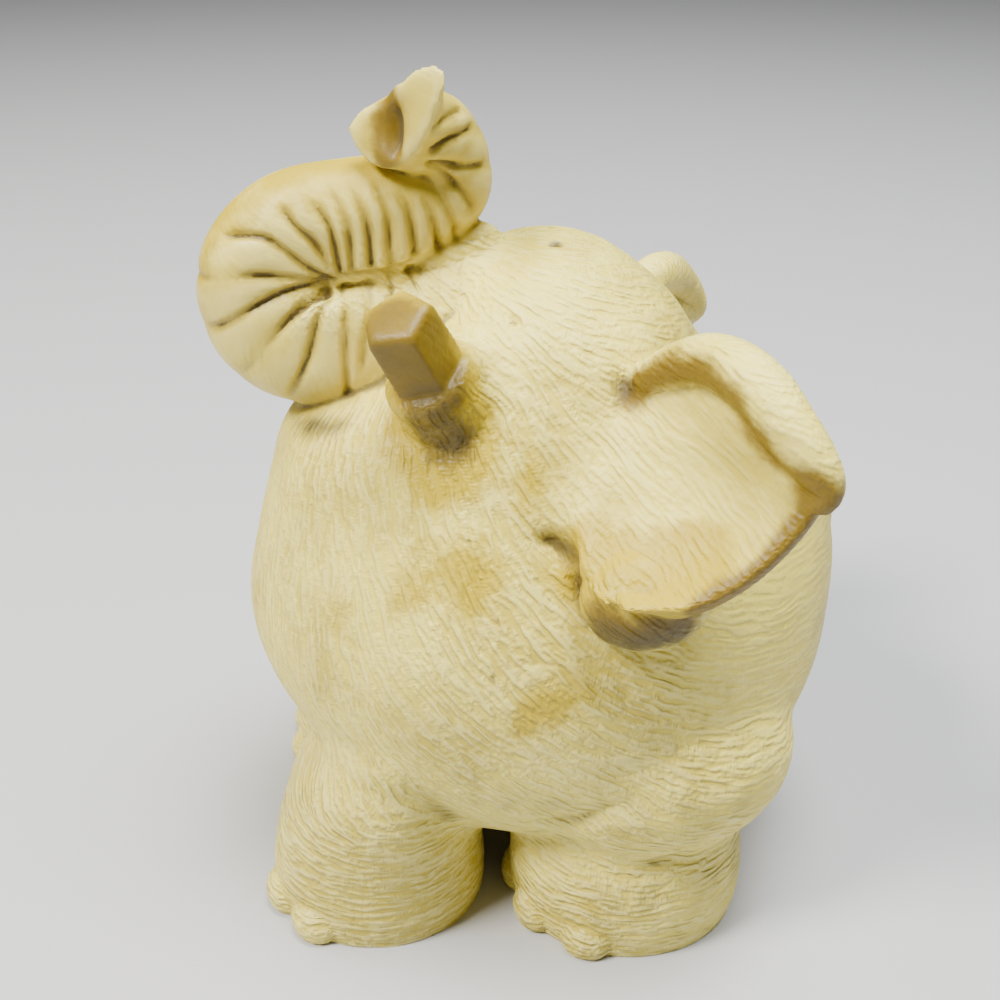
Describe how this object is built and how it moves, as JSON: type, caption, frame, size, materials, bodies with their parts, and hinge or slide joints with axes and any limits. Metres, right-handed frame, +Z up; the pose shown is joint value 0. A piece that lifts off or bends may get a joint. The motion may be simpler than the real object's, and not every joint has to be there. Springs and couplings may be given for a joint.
{
  "type": "elephant figurine",
  "caption": "Chubby standing elephant carved from one lump of waxed pale stone, with flared ears, stub tusks and a folded, raised trunk.",
  "frame": {"origin": "middle of the bounding box's bottom, in the plane of the soles", "axes": "+Z up, the head and trunk point to -Y, the figure's left side is +X"},
  "size_m": [0.0722, 0.0758, 0.1011],
  "materials": {
    "waxed_stone": "carved in short strokes all over and waxed to a soft sheen; pale cream yellow with ochre patches and darker hollows"
  },
  "bodies": {
    "root": {"elephant": "waxed_stone"}
  },
  "joints": []
}
